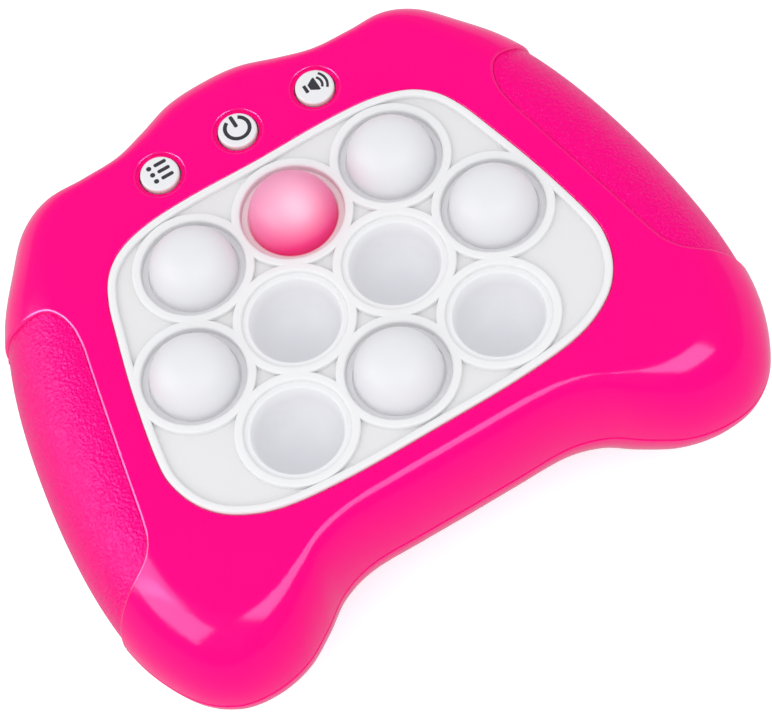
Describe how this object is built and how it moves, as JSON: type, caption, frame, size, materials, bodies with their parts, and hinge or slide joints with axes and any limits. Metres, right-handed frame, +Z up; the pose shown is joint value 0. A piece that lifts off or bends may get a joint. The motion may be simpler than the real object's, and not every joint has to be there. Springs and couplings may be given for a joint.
{
  "type": "electronic bubble pop game",
  "caption": "Handheld game controller shape with domed silicone bubbles in ringed wells that pop in, round push buttons, side grips and a sprung reset plate in the underside.",
  "frame": {"origin": "middle of the footprint, on the flat underside of the case", "axes": "+Z up out of the bubbles, +Y from the horns towards the three push buttons, +X to the right hand"},
  "size_m": [0.1372, 0.1156, 0.0442],
  "materials": {
    "pink_shell": "glossy hot pink with a very fine grain",
    "pink_grip": "leather-like grain, satin",
    "white_silicone": "satin silicone",
    "lit_silicone": "satin silicone, lit pink from below",
    "white_plastic": "satin white",
    "frame_plastic": "moulded white",
    "circuit_board": "green solder mask",
    "black_plastic": "moulded black",
    "cell_sleeve": "printed sleeve without text",
    "steel": "plated",
    "speaker_frame": "dark plated",
    "lead_jacket": "insulated wire"
  },
  "bodies": {
    "case": {"top_shell": "pink_shell", "bottom_shell": "pink_shell", "left_grip": "pink_grip", "right_grip": "pink_grip", "bubble_pad": "white_silicone", "pad_frame": "frame_plastic", "main_board": "circuit_board", "button_board": "circuit_board", "bubble_switch_01": "black_plastic", "bubble_switch_02": "black_plastic", "bubble_switch_03": "black_plastic", "bubble_switch_04": "black_plastic", "bubble_switch_05": "black_plastic", "bubble_switch_06": "black_plastic", "bubble_switch_07": "black_plastic", "bubble_switch_08": "black_plastic", "bubble_switch_09": "black_plastic", "bubble_switch_10": "black_plastic", "mode_switch": "black_plastic", "power_switch": "black_plastic", "sound_switch": "black_plastic", "reset_spring_1": "steel", "reset_spring_2": "steel", "reset_spring_3": "steel", "reset_spring_4": "steel", "battery_cell_1": "cell_sleeve", "battery_cell_2": "cell_sleeve", "contact_bridge": "steel", "contact_plus": "steel", "contact_minus": "steel", "case_screw_1": "steel", "case_screw_2": "steel", "case_screw_3": "steel", "case_screw_4": "steel", "case_screw_5": "steel", "case_screw_6": "steel", "board_screw_1": "steel", "board_screw_2": "steel", "board_screw_3": "steel", "board_screw_4": "steel", "speaker": "speaker_frame", "battery_lead": "lead_jacket", "speaker_lead": "lead_jacket"},
    "bubble_01": {"bubble_01": "white_silicone"},
    "bubble_02": {"bubble_02": "lit_silicone"},
    "bubble_03": {"bubble_03": "white_silicone"},
    "bubble_04": {"bubble_04": "white_silicone"},
    "bubble_05": {"bubble_05": "white_silicone"},
    "bubble_06": {"bubble_06": "white_silicone"},
    "bubble_07": {"bubble_07": "white_silicone"},
    "bubble_08": {"bubble_08": "white_silicone"},
    "bubble_09": {"bubble_09": "white_silicone"},
    "bubble_10": {"bubble_10": "white_silicone"},
    "mode_button": {"mode_button": "white_plastic"},
    "power_button": {"power_button": "white_plastic"},
    "sound_button": {"sound_button": "white_plastic"},
    "reset_plate": {"reset_plate": "white_plastic"},
    "battery_door": {"battery_door": "pink_shell", "door_screw": "steel"}
  },
  "joints": [
    {"name": "bubble_01_push", "type": "slide", "parent": "case", "child": "bubble_01", "axis": [0, 0, 1], "range_m": [-0.016, 0]},
    {"name": "bubble_02_push", "type": "slide", "parent": "case", "child": "bubble_02", "axis": [0, 0, 1], "range_m": [-0.016, 0]},
    {"name": "bubble_03_push", "type": "slide", "parent": "case", "child": "bubble_03", "axis": [0, 0, 1], "range_m": [-0.016, 0]},
    {"name": "bubble_04_push", "type": "slide", "parent": "case", "child": "bubble_04", "axis": [0, 0, 1], "range_m": [-0.016, 0]},
    {"name": "bubble_05_push", "type": "slide", "parent": "case", "child": "bubble_05", "axis": [0, 0, 1], "range_m": [0, 0.016]},
    {"name": "bubble_06_push", "type": "slide", "parent": "case", "child": "bubble_06", "axis": [0, 0, 1], "range_m": [0, 0.016]},
    {"name": "bubble_07_push", "type": "slide", "parent": "case", "child": "bubble_07", "axis": [0, 0, 1], "range_m": [-0.016, 0]},
    {"name": "bubble_08_push", "type": "slide", "parent": "case", "child": "bubble_08", "axis": [0, 0, 1], "range_m": [0, 0.016]},
    {"name": "bubble_09_push", "type": "slide", "parent": "case", "child": "bubble_09", "axis": [0, 0, 1], "range_m": [-0.016, 0]},
    {"name": "bubble_10_push", "type": "slide", "parent": "case", "child": "bubble_10", "axis": [0, 0, 1], "range_m": [0, 0.016]},
    {"name": "mode_press", "type": "slide", "parent": "case", "child": "mode_button", "axis": [0, 0, -1], "range_m": [0, 0.0008], "stiffness_N_per_m": 400, "springref_m": -0.0003},
    {"name": "power_press", "type": "slide", "parent": "case", "child": "power_button", "axis": [0, 0, -1], "range_m": [0, 0.0008], "stiffness_N_per_m": 400, "springref_m": -0.0003},
    {"name": "sound_press", "type": "slide", "parent": "case", "child": "sound_button", "axis": [0, 0, -1], "range_m": [0, 0.0008], "stiffness_N_per_m": 400, "springref_m": -0.0003},
    {"name": "reset_push", "type": "slide", "parent": "case", "child": "reset_plate", "axis": [0, 0, 1], "range_m": [0, 0.008], "stiffness_N_per_m": 300, "springref_m": -0.003, "deforming": ["reset_spring_1", "reset_spring_2", "reset_spring_3", "reset_spring_4"]},
    {"name": "door_tilt", "type": "hinge", "parent": "case", "child": "battery_door", "pos_m": [-0.0276, 0.03243, 0.0002], "axis": [0, 1, 0], "range_deg": [0, 70]}
  ],
  "couplings": [
    {"joint": "bubble_05_push", "follows": "reset_push", "ratio": 2},
    {"joint": "bubble_06_push", "follows": "reset_push", "ratio": 2},
    {"joint": "bubble_08_push", "follows": "reset_push", "ratio": 2},
    {"joint": "bubble_10_push", "follows": "reset_push", "ratio": 2}
  ]
}
